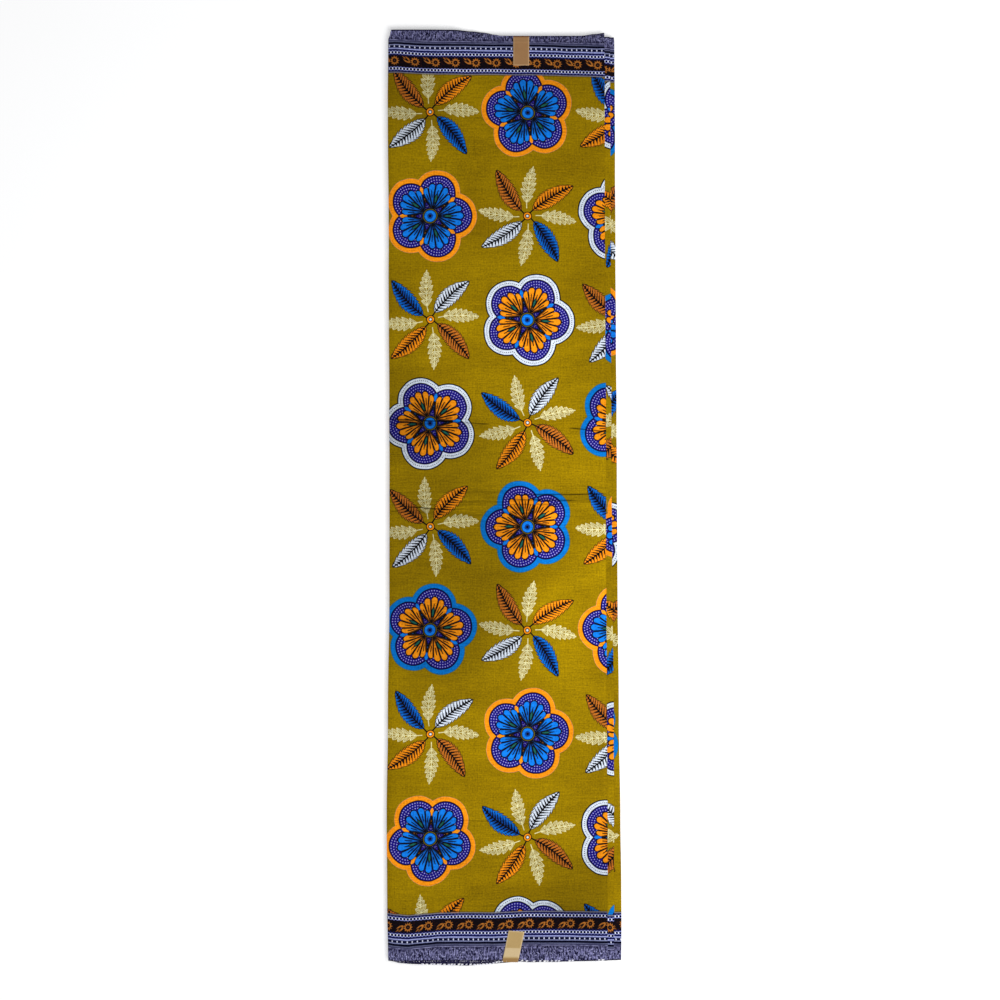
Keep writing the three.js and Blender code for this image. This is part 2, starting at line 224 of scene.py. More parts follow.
def relief(x, y):
    """Creases and small ripples of the cloth."""
    rise = sum(crease_relief(c, x, y) for c in CREASES if abs(y - c["from_y"]) < CREASE_REACH)
    place = Vector((x / RIPPLE_LENGTH, y / RIPPLE_LENGTH, SEED))
    rise += RIPPLE_HEIGHT * noise.noise(place)
    rise += 0.35 * RIPPLE_HEIGHT * noise.noise(place * Vector((2.6, 3.4, 1.0)))
    return rise


def corner_lift(x, y):
    across = (x - CORNER["from_x"]) / (CORNER["to_x"] - CORNER["from_x"])
    along = (y - CORNER["from_y"]) / (CORNER["to_y"] - CORNER["from_y"])
    return CORNER["lift"] * smooth(across) * smooth(along)


def layer_shares(rng):
    """How far down the stack each layer lies, from 0 at the top to 1 at the floor."""
    gaps = [rng.uniform(0.75, 1.25) for _ in range(LAYER_COUNT - 1)]
    depth = 0.0
    shares = [0.0]
    for gap in gaps:
        depth += gap
        shares.append(depth)
    return [share / depth for share in shares]


def layer_height(n, x, y):
    """Height of the middle of a layer's thickness."""
    top = stack_top(x, y) - CLOTH_THICKNESS / 2
    height = mix(top, LOWEST_LAYER, SHARES[n])
    if n < UPPER_LAYERS + 2:
        height += relief(x, y) * RELIEF_FADE ** n * clamp01((top - FLAT_BELOW) / FADE_HEIGHT)
    if n == 0:
        height += corner_lift(x, y)
    return height


def panel_top_height(x, y):
    return layer_height(0, x, y) + CLOTH_THICKNESS / 2


def all_turns(rng):
    """The turns that show, then those of the hidden layers, with a reach of their own each."""
    turns = [dict(turn) for turn in TURNS]
    while len(turns) < LAYER_COUNT + 1:
        kind = HIDDEN_LEFT if len(turns) % 2 else HIDDEN_RIGHT
        turns.append(dict(
            side=kind["side"],
            inset=rng.uniform(kind["least"], kind["most"]),
            upper=rng.uniform(*HIDDEN_UPPER),
            lower=rng.uniform(*HIDDEN_LOWER),
            upper_slip=rng.uniform(-7, -3),
            lower_slip=rng.uniform(-2, 2),
        ))
    return turns


def turn_x(index, y):
    """Where a fold or free end crosses a place along the strip."""
    turn = TURN_LIST[index]
    inward = 1 if turn["side"] == "left" else -1
    wobble = EDGE_WAVE * noise.noise(Vector((y / 70, index * 3.7, SEED)))
    return look_up(SIDE_ROWS, turn["side"], y) + inward * turn["inset"] + wobble


# ---- Rows and columns of the cloth's meshes ----
def row_places(coarse, fine_bands):
    """Places along the strip between its end zones, then the end zones' own divisions."""
    low = LOWER_STACK_END - 1 + END_ZONE
    high = SELVEDGE_BEND_Y - 9
    middle = []
    y = low
    while y < high:
        middle.append(y)
        in_band = any(a - coarse < y < b for a, b in fine_bands)
        y += FINE_ROW if in_band else coarse
    end_count = round(END_ZONE / END_ROW)
    lower = [("lower", i / end_count, low) for i in range(end_count)]
    upper = [("upper", i / end_count, high) for i in range(end_count + 1)]
    return lower + [("middle", 0.0, y) for y in middle] + upper


def column_places(first, last):
    """Columns along the cloth's length: flat stretches of each layer and the arcs of its folds."""
    columns = []
    for n in range(first, last + 1):
        if n == 0:
            steps = round(TOP_PANEL_WIDTH / TOP_COLUMN)
            shares = [i / steps for i in range(steps - 2)]
            shares += [1 - gap for gap in TOP_LIP_GAPS]
        else:
            shares = PANEL_SHARES
        columns += [("flat", n, share) for share in shares]
        if n < last:
            columns += [("fold", n, math.pi * i / FOLD_STEPS) for i in range(1, FOLD_STEPS)]
    return columns


def hang_over(beyond, x):
    """Where the top panel's selvedge lies, a length beyond the bend: how far out and how far down."""
    turn = max(LEAST_CURL, look_up(CURL_ROWS, "curl", x)) * math.pi / 2
    arc = SELVEDGE_BEND_RADIUS * math.pi / 2
    radius = arc / turn
    angle = turn * min(1.0, beyond / arc)
    rest = max(0.0, beyond - arc)
    out = radius * math.sin(angle) + rest * math.cos(turn)
    down = radius * (1 - math.cos(angle)) + rest * math.sin(turn)
    return out, down


def bow(x, y):
    upper = look_up(BOW_ROWS, "upper", x) * smooth((y - BOW_START) / BOW_LENGTH)
    lower = look_up(BOW_ROWS, "lower", x) * smooth((-BOW_START - y) / BOW_LENGTH)
    return upper + lower


def slip(n, share, y):
    """How far the print of a layer below the top panel has slipped along the strip."""
    start, end = TURN_LIST[n], TURN_LIST[n + 1]
    upper = mix(start["upper_slip"], end["upper_slip"], share)
    lower = mix(start["lower_slip"], end["lower_slip"], share)
    return mix(lower, upper, smooth((y + 560) / 1120))


def lower_edge(x, layer):
    """Where the lower selvedge of one of the two uppermost layers lies."""
    tip = look_up(END_ROWS, "lower", x)
    return tip - look_up(END_ROWS, "peek", x) if layer else tip


def lower_tip(n, share, x):
    """Where a layer's lower selvedge lies, with its small waves."""
    tip = mix(TURN_LIST[n]["lower"], TURN_LIST[n + 1]["lower"], share)
    if n == 0:
        tip = lower_edge(x, 0)
    if n == 1:
        tip = mix(tip, lower_edge(x, 1), smooth(look_up(END_ROWS, "peek", x) / PEEK_JOIN))
    return tip + EDGE_WAVE * noise.noise(Vector((x / 14, n * 5.1, 3.0)))


def upper_tip(n, share, x):
    """Where a layer's upper selvedge lies along the cloth."""
    if n == 0:
        return UPPER_SELVEDGE + min(0.0, look_up(BOW_ROWS, "upper", x))
    ease = smooth(2.4 * share) if n == 1 else share
    return mix(TURN_LIST[n]["upper"], TURN_LIST[n + 1]["upper"], ease)


def along_strip(n, share, x, row):
    """Y, drop below the layer, the print's coordinate along the strip and distance from a selvedge."""
    zone, part, y = row
    drop = 0.0
    rim = FAR_FROM_RIM
    if zone == "lower":
        tip = lower_tip(n, share, x)
        y = mix(tip, y, part)
        rim = y - tip
    elif zone == "upper":
        tip = upper_tip(n, share, x)
        y = mix(y, tip, part)
        rim = tip - y
    printed = y
    if n == 0 and y > SELVEDGE_BEND_Y:
        out, drop = hang_over(y - SELVEDGE_BEND_Y, x)
        y = SELVEDGE_BEND_Y + out
    printed -= bow(x, printed) if n == 0 else slip(n, share, printed)
    return y, drop, printed, rim


def nominal_place(row):
    """Roughly where a row lies along the strip, to look up the side outlines."""
    zone, part, y = row
    if zone == "upper":
        return mix(y, UPPER_SELVEDGE, part)
    return mix(LOWER_STACK_END, y, part) if zone == "lower" else y


def cloth_point(column, row):
    """A mesh point of the cloth, its print coordinate along the strip and its distance from a rim."""
    kind, n, value = column
    nominal_y = nominal_place(row)
    if kind == "flat":
        x0, x1 = turn_x(n, nominal_y), turn_x(n + 1, nominal_y)
        # The flat part stops short of the fold lips at its two ends.
        inward = -1 if n % 2 else 1
        x0 -= inward * fold_reach(n, nominal_y) if n else 0
        x1 += inward * fold_reach(n + 1, nominal_y)
        x = mix(x0, x1, value)
        y, drop, printed, rim = along_strip(n, value, x, row)
        height = layer_height(n, x, min(y, SELVEDGE_BEND_Y)) - drop
        return Vector((x, y, max(height, LOWEST_LAYER))), printed, rim
    outward = -1 if n % 2 == 0 else 1
    reach = fold_reach(n + 1, nominal_y)
    x = turn_x(n + 1, nominal_y) - outward * reach
    upper_y, upper_drop, printed, rim = along_strip(n, 1.0, x, row)
    lower_y = along_strip(n + 1, 0.0, x, row)[0]
    above = layer_height(n, x, min(upper_y, SELVEDGE_BEND_Y)) - upper_drop
    below = layer_height(n + 1, x, min(lower_y, SELVEDGE_BEND_Y))
    half = (above - below) / 2
    y = mix(upper_y, lower_y, (1 - math.cos(value)) / 2)
    height = below + half * (1 + math.cos(value))
    return Vector((x + outward * reach * math.sin(value), y, height)), printed, rim


def fold_reach(index, y):
    """How far a fold's rounded lip stands out beyond the flat of its layers."""
    if index >= LAYER_COUNT:
        return 0.0
    gap = (SHARES[index] - SHARES[index - 1]) * STACK_HEIGHT
    return FOLD_BULGE * gap / 2 * (1.2 + 0.5 * noise.noise(Vector((y / 90, index * 2.3, 7.0))))


def cloth_mesh(name, first, last, coarse, fine_bands, length_before):
    """One run of cloth. Its UV maps hold the print's coordinates and the rim's distance in metres."""
    columns = column_places(first, last)
    rows = row_places(coarse, fine_bands)
    points = []
    prints = []
    rims = []
    for row in rows:
        run = None
        previous = None
        for column in columns:
            point, printed, rim = cloth_point(column, row)
            if previous is None:
                run = length_before if first else -point.x
            elif column[1] == 0 and column[0] == "flat":
                run = -point.x
            else:
                run += math.hypot(point.x - previous.x, point.z - previous.z)
            previous = point
            points.append(point * MM)
            prints.append((run * MM, printed * MM))
            rims.append((rim * MM, 0.0))
    faces = grid_faces(len(rows), len(columns))
    return sheet_piece(name, points, faces, {"cloth": prints, "rim": rims}, CLOTH_THICKNESS)


def grid_faces(row_count, width):
    """Faces of a grid whose points come row by row."""
    starts = [row * width + column for row in range(row_count - 1) for column in range(width - 1)]
    return [(a, a + width, a + width + 1, a + 1) for a in starts]


def linked(name, data):
    """A new object in the scene."""
    item = bpy.data.objects.new(name, data)
    bpy.context.scene.collection.objects.link(item)
    return item


def new_piece(name, points, faces):
    mesh = bpy.data.meshes.new(name)
    mesh.from_pydata(points, [], faces)
    return linked(name, mesh)


def sheet_piece(name, points, faces, maps, thickness):
    """A smooth thin piece with a UV map for each named list of a point's coordinates."""
    piece = new_piece(name, points, faces)
    for layer, pairs in maps.items():
        uv = piece.data.uv_layers.new(name=layer)
        corners = [pairs[v] for face in faces for v in face]
        uv.data.foreach_set("uv", [value for pair in corners for value in pair])
    piece.data.polygons.foreach_set("use_smooth", [True] * len(faces))
    modifier = piece.modifiers.new("thickness", "SOLIDIFY")
    modifier.thickness = thickness * MM
    modifier.offset = 0.0
    bpy.context.view_layer.objects.active = piece
    bpy.ops.object.modifier_apply(modifier=modifier.name)
    return piece


# ---- Shader arithmetic ----
class Wire:
    """A value in a node tree. Arithmetic on it adds Math nodes."""

    def __init__(self, tree, socket):
        self.tree = tree
        self.socket = socket

    def math(self, operation, *others, clamp=False):
        node = self.tree.nodes.new("ShaderNodeMath")
        node.operation = operation
        node.use_clamp = clamp
        for slot, value in zip(node.inputs, (self, *others)):
            if isinstance(value, Wire):
                self.tree.links.new(value.socket, slot)
            else:
                slot.default_value = value
        return Wire(self.tree, node.outputs[0])

    def __rsub__(self, other):
        return -self + other

    def __neg__(self):
        return self.math("MULTIPLY", -1.0)

    def share(self):
        """The value held between 0 and 1."""
        return self.math("ADD", 0.0, clamp=True)


def operation_method(operation):
    return lambda wire, *others: wire.math(operation, *others)


# y.angle(x) is the angle of the point (x, y).
OPERATIONS = {
    "__add__": "ADD", "__radd__": "ADD", "__sub__": "SUBTRACT", "__mul__": "MULTIPLY", "__rmul__": "MULTIPLY",
    "__truediv__": "DIVIDE", "__abs__": "ABSOLUTE", "__pow__": "POWER", "floor": "FLOOR", "fract": "FRACT",
    "sin": "SINE", "cos": "COSINE", "root": "SQRT", "least": "MINIMUM", "most": "MAXIMUM",
    "below": "LESS_THAN", "modulo": "FLOORED_MODULO", "angle": "ARCTAN2",
}
for method_name, operation_name in OPERATIONS.items():
    setattr(Wire, method_name, operation_method(operation_name))


def length_of(x, y):
    return (x * x + y * y).root()


def inside(distance, blur=0.45):
    """Mask that is 1 where a distance in millimetres is above 0, with a soft printed edge."""
    return (distance / blur + 0.5).share()


def band(value, low, high, blur=0.45):
    """Mask of a stripe between two values."""
    return inside((value - low).least(high - value), blur)


def flip(mask):
    return 1.0 - mask


def ramp(value, start, gain):
    """Mask that rises from 0 where a value passes its start."""
    return ((value - start) * gain).share()


class Paint:
    """A colour that masks paint over, one Mix node for each."""

    def __init__(self, tree, colour):
        self.tree = tree
        self.socket = None
        self.colour = colour

    def over(self, mask, colour):
        node = self.tree.nodes.new("ShaderNodeMix")
        node.data_type = "RGBA"
        link = self.tree.links.new
        link(mask.socket, node.inputs["Factor"])
        for name, value in (("A", self.socket or self.colour), ("B", colour)):
            slot = next(s for s in node.inputs if s.name == name and s.type == "RGBA")
            if isinstance(value, bpy.types.NodeSocket):
                link(value, slot)
            elif isinstance(value, Paint):
                link(value.socket, slot)
            else:
                slot.default_value = (*value, 1.0)
        self.socket = next(s for s in node.outputs if s.type == "RGBA")

    def branch(self):
        """A second paint that starts from what is painted so far."""
        twin = Paint(self.tree, self.colour)
        twin.socket = self.socket
        return twin


def set_inputs(node, values):
    for name, value in values.items():
        node.inputs[name].default_value = value


def srgb(red, green, blue):
    """Linear colour from the 0 to 255 values that a screen shows."""
    values = [c / 255 for c in (red, green, blue)]
    return tuple(c / 12.92 if c <= 0.04045 else ((c + 0.055) / 1.055) ** 2.4 for c in values)


def grain_of(x, y, scale_x, scale_y, z=0.0, detail=2.0, roughness=0.5):
    """A noise texture over flat print coordinates. Its scales are in cells for each millimetre."""
    tree = x.tree
    place = tree.nodes.new("ShaderNodeCombineXYZ")
    tree.links.new((x * scale_x).socket, place.inputs[0])
    tree.links.new((y * scale_y).socket, place.inputs[1])
    place.inputs[2].default_value = z
    node = tree.nodes.new("ShaderNodeTexNoise")
    set_inputs(node, {"Scale": 1.0, "Detail": detail, "Roughness": roughness})
    tree.links.new(place.outputs[0], node.inputs["Vector"])
    return Wire(tree, node.outputs[0])


# ---- The print: flowers and leaves in a chequered layout between two borders ----
# Plain numbers in the figures below are millimetres, shares, or angles in radians.
INK = srgb(12, 9, 12)
OLIVE = srgb(154, 124, 1)
OLIVE_DARK = srgb(124, 96, 0)
NAVY = srgb(26, 16, 122)
ORANGE = srgb(250, 150, 20)
ORANGE_DEEP = srgb(206, 112, 16)
RUST = srgb(190, 108, 34)
BLUE = srgb(18, 124, 232)
RIM_BLUE = srgb(8, 116, 204)
DEEP_BLUE = srgb(10, 62, 146)
TEAL = srgb(30, 96, 84)
WHITE = srgb(220, 230, 244)
CREAM = srgb(228, 222, 168)
DOT = srgb(164, 164, 230)
LILAC_LIGHT = srgb(236, 240, 255)
CHAIN_RING = srgb(154, 162, 234)
PURPLE = srgb(66, 66, 100)
NIGHT = srgb(4, 6, 44)
CHAIN_SHADE = srgb(16, 20, 80)
SELVEDGE_INK_AND_SHADE = srgb(20, 16, 48)
BAND_BLACK = srgb(12, 8, 16)

CELL_X = 122.0
CELL_Y = 130.0
CELL_SHIFT_X = 30.0
CELL_SHIFT_Y = 38.0
UPPER_BORDER_Y = 528.9
LOWER_BORDER_Y = -520.4
UPPER_STRETCH = 1.01
LOWER_STRETCH = 1.04

LOBES = 5
LOBE_CENTRE = 28.5
LOBE_RADIUS = 27.5
RIM_WIDTH = 5.2
DOT_ROW = 3.2
DOT_PITCH = 3.1
BEAD_PITCH = 2.4
FROND_TURN = 9.4
FAN_HALF_ANGLE = 2.5 * math.pi / FROND_TURN
ROSETTE_SCALE = 1.045
QUARTER = math.pi / 2
LEAF_BEND = 0.0030

# Radius and colour of the discs in the middle of a rosette and a spray, the largest first.
ROSETTE_CORE = (
    (9.6, INK), (8.4, srgb(112, 100, 30)), (7.6, INK), (6.6, BLUE), (3.4, DEEP_BLUE), (1.6, INK),
)
SPRAY_CORE = ((5.6, INK), (4.4, ORANGE), (2.6, INK), (1.5, WHITE))


def almond(along, start, length, width, fullness=1.0):
    """Half width of a leaf along its length, and 0 beyond its ends."""
    share = ((along - start) / length).share()
    return (share ** fullness * math.pi).sin().most(0.0) ** 0.75 * width


def turned(x, y, angle):
    """The coordinates after a turn by an angle that may differ from cell to cell."""
    cosine, sine = angle.cos(), angle.sin()
    return x * cosine - y * sine, x * sine + y * cosine


def fan_of_fronds(x, y, fill, deep, paint):
    """Five rounded fronds that spread from one point along x, with dark lines between them."""
    reach = length_of(x, y)
    lean = y.angle(x)
    fan = abs(lean)
    lobe = abs((lean * FROND_TURN).cos())
    length = 31.5 - fan * fan * 12.5
    tip = length * (0.80 + lobe ** 0.55 * 0.20)
    shape = (tip - reach).least((FAN_HALF_ANGLE - fan) * reach)
    paint.over(inside(shape + 1.8), INK)
    paint.over(inside(shape), fill)
    paint.over(inside(shape) * inside(length * 0.62 - reach, 6.0) * 0.6, deep)
    groove = reach * 0.024 + 0.50 - reach * lobe / FROND_TURN
    paint.over(inside(groove) * inside(shape), INK)
    ridge = abs((lean * FROND_TURN).sin())
    vein = 0.60 - reach * ridge / FROND_TURN
    paint.over(inside(vein) * band(reach / length, 0.46, 0.76, 0.05), INK)


def rosette(x, y, kind, paint):
    """A five-lobed flower medallion. kind is 0, 1 or 2: blue, white or orange rim."""
    radius = length_of(x, y)
    sector = 2 * math.pi / LOBES
    fold = (y.angle(x) + sector / 2).modulo(sector) - sector / 2
    lobe_x = radius * fold.cos()
    lobe_y = radius * fold.sin()
    depth = LOBE_RADIUS - length_of(lobe_x - LOBE_CENTRE, lobe_y)
    white = band(kind, 0.5, 1.5, 0.1)
    orange = inside(kind - 1.5, 0.1)
    lobe_rim(depth, white, orange, paint)
    arc = lobe_y.angle(lobe_x - LOBE_CENTRE)
    lobe_beads(depth, arc, white, paint)
    lobe_dots(depth, arc, paint)
    drops_between(radius, sector / 2 - abs(fold), orange, paint)
    lobe_fans(lobe_x, lobe_y, orange, paint)
    discs(radius, ROSETTE_CORE, paint)


def lobe_rim(depth, white, orange, paint):
    """The lobes' coloured rims. depth is the distance in from a lobe's outline."""
    paint.over(inside(depth + 0.7, 0.8) * flip(orange), TEAL)
    paint.over(inside(depth + 1.5) * white, INK)
    paint.over(inside(depth), RIM_BLUE)
    paint.over(inside(depth) * orange, ORANGE)
    paint.over(inside(depth) * white, WHITE)


def lobe_beads(depth, arc, white, paint):
    """Beads along a white rim, and the navy field inside the rim. arc is the angle around a lobe."""
    bead_x = ((arc * (LOBE_RADIUS - RIM_WIDTH / 2) / BEAD_PITCH).fract() - 0.5) * BEAD_PITCH
    bead = 0.60 - length_of(bead_x, depth - RIM_WIDTH / 2)
    paint.over(inside(bead) * white, INK)
    paint.over(inside(depth - RIM_WIDTH), INK)
    paint.over(inside(depth - RIM_WIDTH - 1.3), NAVY)


def lobe_dots(depth, arc, paint):
    """Rows of dots along a lobe's outline."""
    row = ((depth - RIM_WIDTH - 1.4) / DOT_ROW).floor()
    row_depth = row * DOT_ROW + RIM_WIDTH + 1.4 + DOT_ROW / 2
    along = arc * (LOBE_RADIUS - row_depth) / DOT_PITCH + row * 0.5
    dot_x = (along.fract() - 0.5) * DOT_PITCH
    dot = 0.66 - length_of(dot_x, depth - row_depth)
    paint.over(inside(dot) * inside(depth - RIM_WIDTH - 1.6), DOT)


def drops_between(radius, edge, orange, paint):
    """Drops that point in between the lobes. edge is the angle from the line between two lobes."""
    drop_x = radius * edge.cos()
    drop_y = radius * edge.sin()
    drop = (almond(drop_x, 17, 20, 3.0, 1.2) - drop_y).least(drop_x - 17.5).least(36.5 - drop_x)
    paint.over(inside(drop + 0.9), INK)
    paint.over(inside(drop), BLUE)
    paint.over(inside(drop) * orange, ORANGE)


def lobe_fans(lobe_x, lobe_y, orange, paint):
    """A fan of fronds in each lobe, around a dark eyelet."""
    fan = paint.branch()
    fan_of_fronds(lobe_x - 8.5, lobe_y, ORANGE, ORANGE_DEEP, fan)
    cool = paint.branch()
    fan_of_fronds(lobe_x - 8.5, lobe_y, BLUE, DEEP_BLUE, cool)
    fan.over(orange, cool)
    paint.socket = fan.socket
    eyelet = almond(lobe_x, 15, 14, 2.1) - abs(lobe_y)
    paint.over(inside(eyelet) * band(lobe_x, 15.5, 28.5), INK)
    paint.over(inside(eyelet - 1.0) * band(lobe_x, 17, 27), TEAL)


def discs(radius, rings, paint):
    for size, colour in rings:
        paint.over(inside(size - radius), colour)


def bent_leaf(x, y, lean, bend_start):
    """The angle around a cross of four leaves, and the distances along and aside from a leaf's middle."""
    radius = length_of(x, y)
    turn = y.angle(x) + lean
    fold = turn.modulo(QUARTER) - QUARTER / 2
    along = radius * fold.cos()
    bend = (along - bend_start).most(0.0)
    across = radius * fold.sin() - bend * bend * LEAF_BEND + 1.0
    return turn, along, abs(across)


def leaf_spray(x, y, kind, paint):
    """Four toothed leaves in a turning cross, each of its own colour."""
    turn, along, side = bent_leaf(x, y, 0.13, 10)
    tooth = ((along + side * 0.9) / 5.6).fract()
    width = almond(along, 11, 57, 10.4, 0.92) * (1.08 - tooth * 0.26)
    ends = (along - 11.5).least(67.5 - along)
    leaf = (width - side).least(ends)
    quadrant = ((turn / QUARTER).floor() + kind).modulo(4.0)

    stem = (0.9 - side).least(along - 4).least(13 - along)
    paint.over(inside(stem.most(leaf + 1.2)), INK)
    fill = inside(leaf)
    for index, colour in enumerate((ORANGE, BLUE, WHITE, RUST)):
        paint.over(fill * band(quadrant, index - 0.5, index + 0.5, 0.1), colour)
    ratio = side / width.most(0.5)
    shade = inside(0.75 - ratio, 0.6) * fill
    paint.over(shade * band(quadrant, 0.5, 1.5, 0.1) * 0.9, DEEP_BLUE)
    paint.over(shade * inside(0.5 - quadrant, 0.1) * 0.4, ORANGE_DEEP)
    stroke = ((along - side * 0.8) / 4.1).fract()
    grain = grain_of(x, y, 0.33, 0.33, detail=1.0)
    flame = (1.15 - ratio).most(0.0) * (0.22 + grain * 0.85) - stroke
    paint.over(inside(flame * 4.1, 0.5) * fill, INK)
    paint.over(inside(0.8 - side) * fill, INK)


def cream_sprig(x, y, paint):
    """Four line-drawn leafy twigs between the leaves."""
    _, along, side = bent_leaf(x, y, QUARTER / 2 + 0.16, 14)
    width = almond(along, 17, 45, 9.0, 0.85)
    share = (side / width.most(0.5)).share()
    leaflet = (((along - side * 0.95) / 7.4).fract() - 0.5) * 5.3
    half = (share * math.pi).sin().most(0.0) ** 0.7 * 2.35
    shape = (half - abs(leaflet)).least(width - side + 0.3).least(along - 18).least(61 - along)
    wash = grain_of(x, y, 0.16, 0.16, z=4.0, detail=1.0)
    paint.over(inside(shape) * (wash * 0.9 - 0.20).share(), CREAM)
    paint.over(band(shape, -0.10, 0.70, 0.35), CREAM)
    vein = (0.32 - abs(leaflet - 0.3)).least(shape - 0.4)
    paint.over(inside(vein, 0.35) * 0.8, CREAM)
    rib = (0.50 - side).least(along - 10).least(62.5 - along)
    paint.over(inside(rib, 0.4), CREAM)


# Distances of the border's rows from the ground's edge, and the pitches and shifts of its figures.
INNER_CHAIN = 5.5
OUTER_CHAIN = 25.3
BLACK_BAND = (7.8, 23.1)
FLOWER_ROW = 15.2
FLOWER_PITCH = 25.45
CHAIN_PITCH = FLOWER_PITCH / 6
INNER_CHAIN_SHIFT = 1.3
OUTER_CHAIN_SHIFT = -0.6
FLOWER_SHIFT = 3.6
LOWER_BORDER_SHIFT = 8.9
LILAC_LINE = (29.7, 30.9)
DASH_ROW = 33.15
DASH_PITCH = FLOWER_PITCH / 4
DASH_START = 3.0
COMB_START = 42.3


def chain(x, y, paint):
    """A braided row: dark eyes in pale rings, with bright knots where the rings meet."""
    knot_x = ((x / CHAIN_PITCH).fract() - 0.5) * CHAIN_PITCH
    eye_x = ((x / CHAIN_PITCH + 0.5).fract() - 0.5) * CHAIN_PITCH
    paint.over(band(abs(y), -1.0, 2.6, 0.5), CHAIN_SHADE)
    from_eye = length_of(eye_x, y * 1.1)
    paint.over(inside(0.45 - abs(from_eye - 2.0), 0.4), CHAIN_RING)
    paint.over(inside(1.22 - length_of(knot_x * 1.15, y * 0.88), 0.5), LILAC_LIGHT)
    paint.over(inside(1.55 - from_eye, 0.4), NIGHT)
    paint.over(inside(1.35 - length_of(knot_x, abs(y) - 2.75), 0.5), CHAIN_SHADE)


def running_flowers(x, out, paint):
    """Small rayed flowers in a row, each with a split leaf at its side."""
    glow = srgb(198, 122, 48)
    flower_x = (x / FLOWER_PITCH).fract() * FLOWER_PITCH - FLOWER_PITCH / 2 - FLOWER_SHIFT
    flower_y = out - FLOWER_ROW
    radius = length_of(flower_x, flower_y)
    ray = 1.0 - abs((flower_y.angle(flower_x) * 5.5).sin())
    ring = (4.2 + ray ** 1.3 * 1.8 - radius).least(radius - 2.8)
    paint.over(inside(ring, 0.7), glow)
    paint.over(band(radius, 3.7, 4.2, 0.6) * 0.55, srgb(80, 40, 20))
    paint.over(inside(0.7 - radius, 0.8), srgb(110, 66, 40))

    lean = math.radians(142)
    start_x, start_y = flower_x + 5.9, flower_y + 1.5
    along = start_x * math.cos(lean) + start_y * math.sin(lean)
    across = start_y * math.cos(lean) - start_x * math.sin(lean)
    side = abs(across)
    blade = (almond(along, 0, 12.9, 2.8, 0.85) - side).least(along - 0.3).least(12.1 - along)
    slit = side - almond(along, 2.6, 6.0, 1.3)
    split = abs(side - 1.3) - (along - 4.4) * 0.15
    paint.over(inside(blade.least(slit).least(split), 0.7), glow)
    burn = grain_of(x, out, 0.42, 0.42, z=14.0)
    in_band = band(out, BLACK_BAND[0], BLACK_BAND[1], 0.8)
    paint.over(in_band * ramp(burn, 0.48, 5.0) * 0.5, srgb(52, 20, 10))


def dashes(x, y, paint):
    """Dark dashes with bright flecks between them."""
    dash_x = abs((x / DASH_PITCH).fract() - 0.5) * DASH_PITCH
    paint.over(inside((2.55 - dash_x).least(1.3 - abs(y)), 0.4), NIGHT)
    fleck = 0.68 - length_of(DASH_PITCH / 2 - dash_x, y * 0.55)
    paint.over(inside(fleck, 0.6), srgb(228, 232, 255))


def comb(x, out, paint):
    """Short dark and pale strokes across the selvedge."""
    beyond = inside(out - COMB_START, 0.8)
    paint.over(beyond, srgb(78, 78, 116))
    strokes = grain_of(x, out, 0.60, 0.13, roughness=0.65)
    paint.over(beyond * ramp(strokes, 0.52, 12.0), srgb(138, 136, 184))
    paint.over(beyond * ((0.48 - strokes) * 18.0).share(), srgb(14, 10, 46))
    flecks = grain_of(x, out, 0.60, 0.40, z=9.0, detail=1.0)
    paint.over(beyond * ramp(flecks, 0.58, 12.0) * 0.85, srgb(180, 180, 224))
    paint.over(beyond * ((0.38 - flecks) * 12.0).share() * 0.85, srgb(12, 8, 36))


def border(x, out, paint):
    """A selvedge border. out is the distance from the ground's edge towards the selvedge."""
    paint.over(band(out, -0.7, 0.4, 0.5) * 0.6, srgb(46, 38, 10))
    paint.over(inside(out - 0.4, 0.5), srgb(126, 124, 138))
    paint.over(inside(out - 1.6, 0.5), CHAIN_SHADE)
    chain(x + INNER_CHAIN_SHIFT, out - INNER_CHAIN, paint)
    paint.over(inside(out - BLACK_BAND[0], 0.8), BAND_BLACK)
    running_flowers(x, out, paint)
    paint.over(inside(out - BLACK_BAND[1], 0.8), CHAIN_SHADE)
    chain(x + OUTER_CHAIN_SHIFT, out - OUTER_CHAIN, paint)
    paint.over(inside(out - LILAC_LINE[0], 0.4), srgb(174, 182, 240))
    paint.over(inside(out - LILAC_LINE[1], 0.5), srgb(74, 78, 122))
    dashes(x - DASH_START, out - DASH_ROW, paint)
    paint.over(band(out, 34.6, 35.7, 0.4), srgb(136, 142, 182))
    paint.over(band(out, 36.0, 38.4, 0.3), srgb(0, 0, 24))
    paint.over(inside(out - 38.5, 0.3), srgb(98, 102, 132))
    paint.over(inside(out - 39.7, 0.4), PURPLE)
    streak = grain_of(x, out, 0.03, 0.9, z=7.0)
    paint.over(inside(out - 38.5, 0.4) * ramp(streak, 0.46, 6.0) * 0.7, srgb(46, 46, 82))
    comb(x, out, paint)
    broken = grain_of(x, out, 0.16, 0.2, z=3.0)
    paint.over(band(out, 41.0, 42.1, 0.4) * ramp(broken, 0.36, 5.0), srgb(132, 132, 170))
    paint.over(band(out, 42.3, 43.7, 0.5) * 0.55, SELVEDGE_INK_AND_SHADE)
    paint.over(((52.0 - out) / 9.0).share() * inside(out - 43.7, 0.8) * 0.26, SELVEDGE_INK_AND_SHADE)


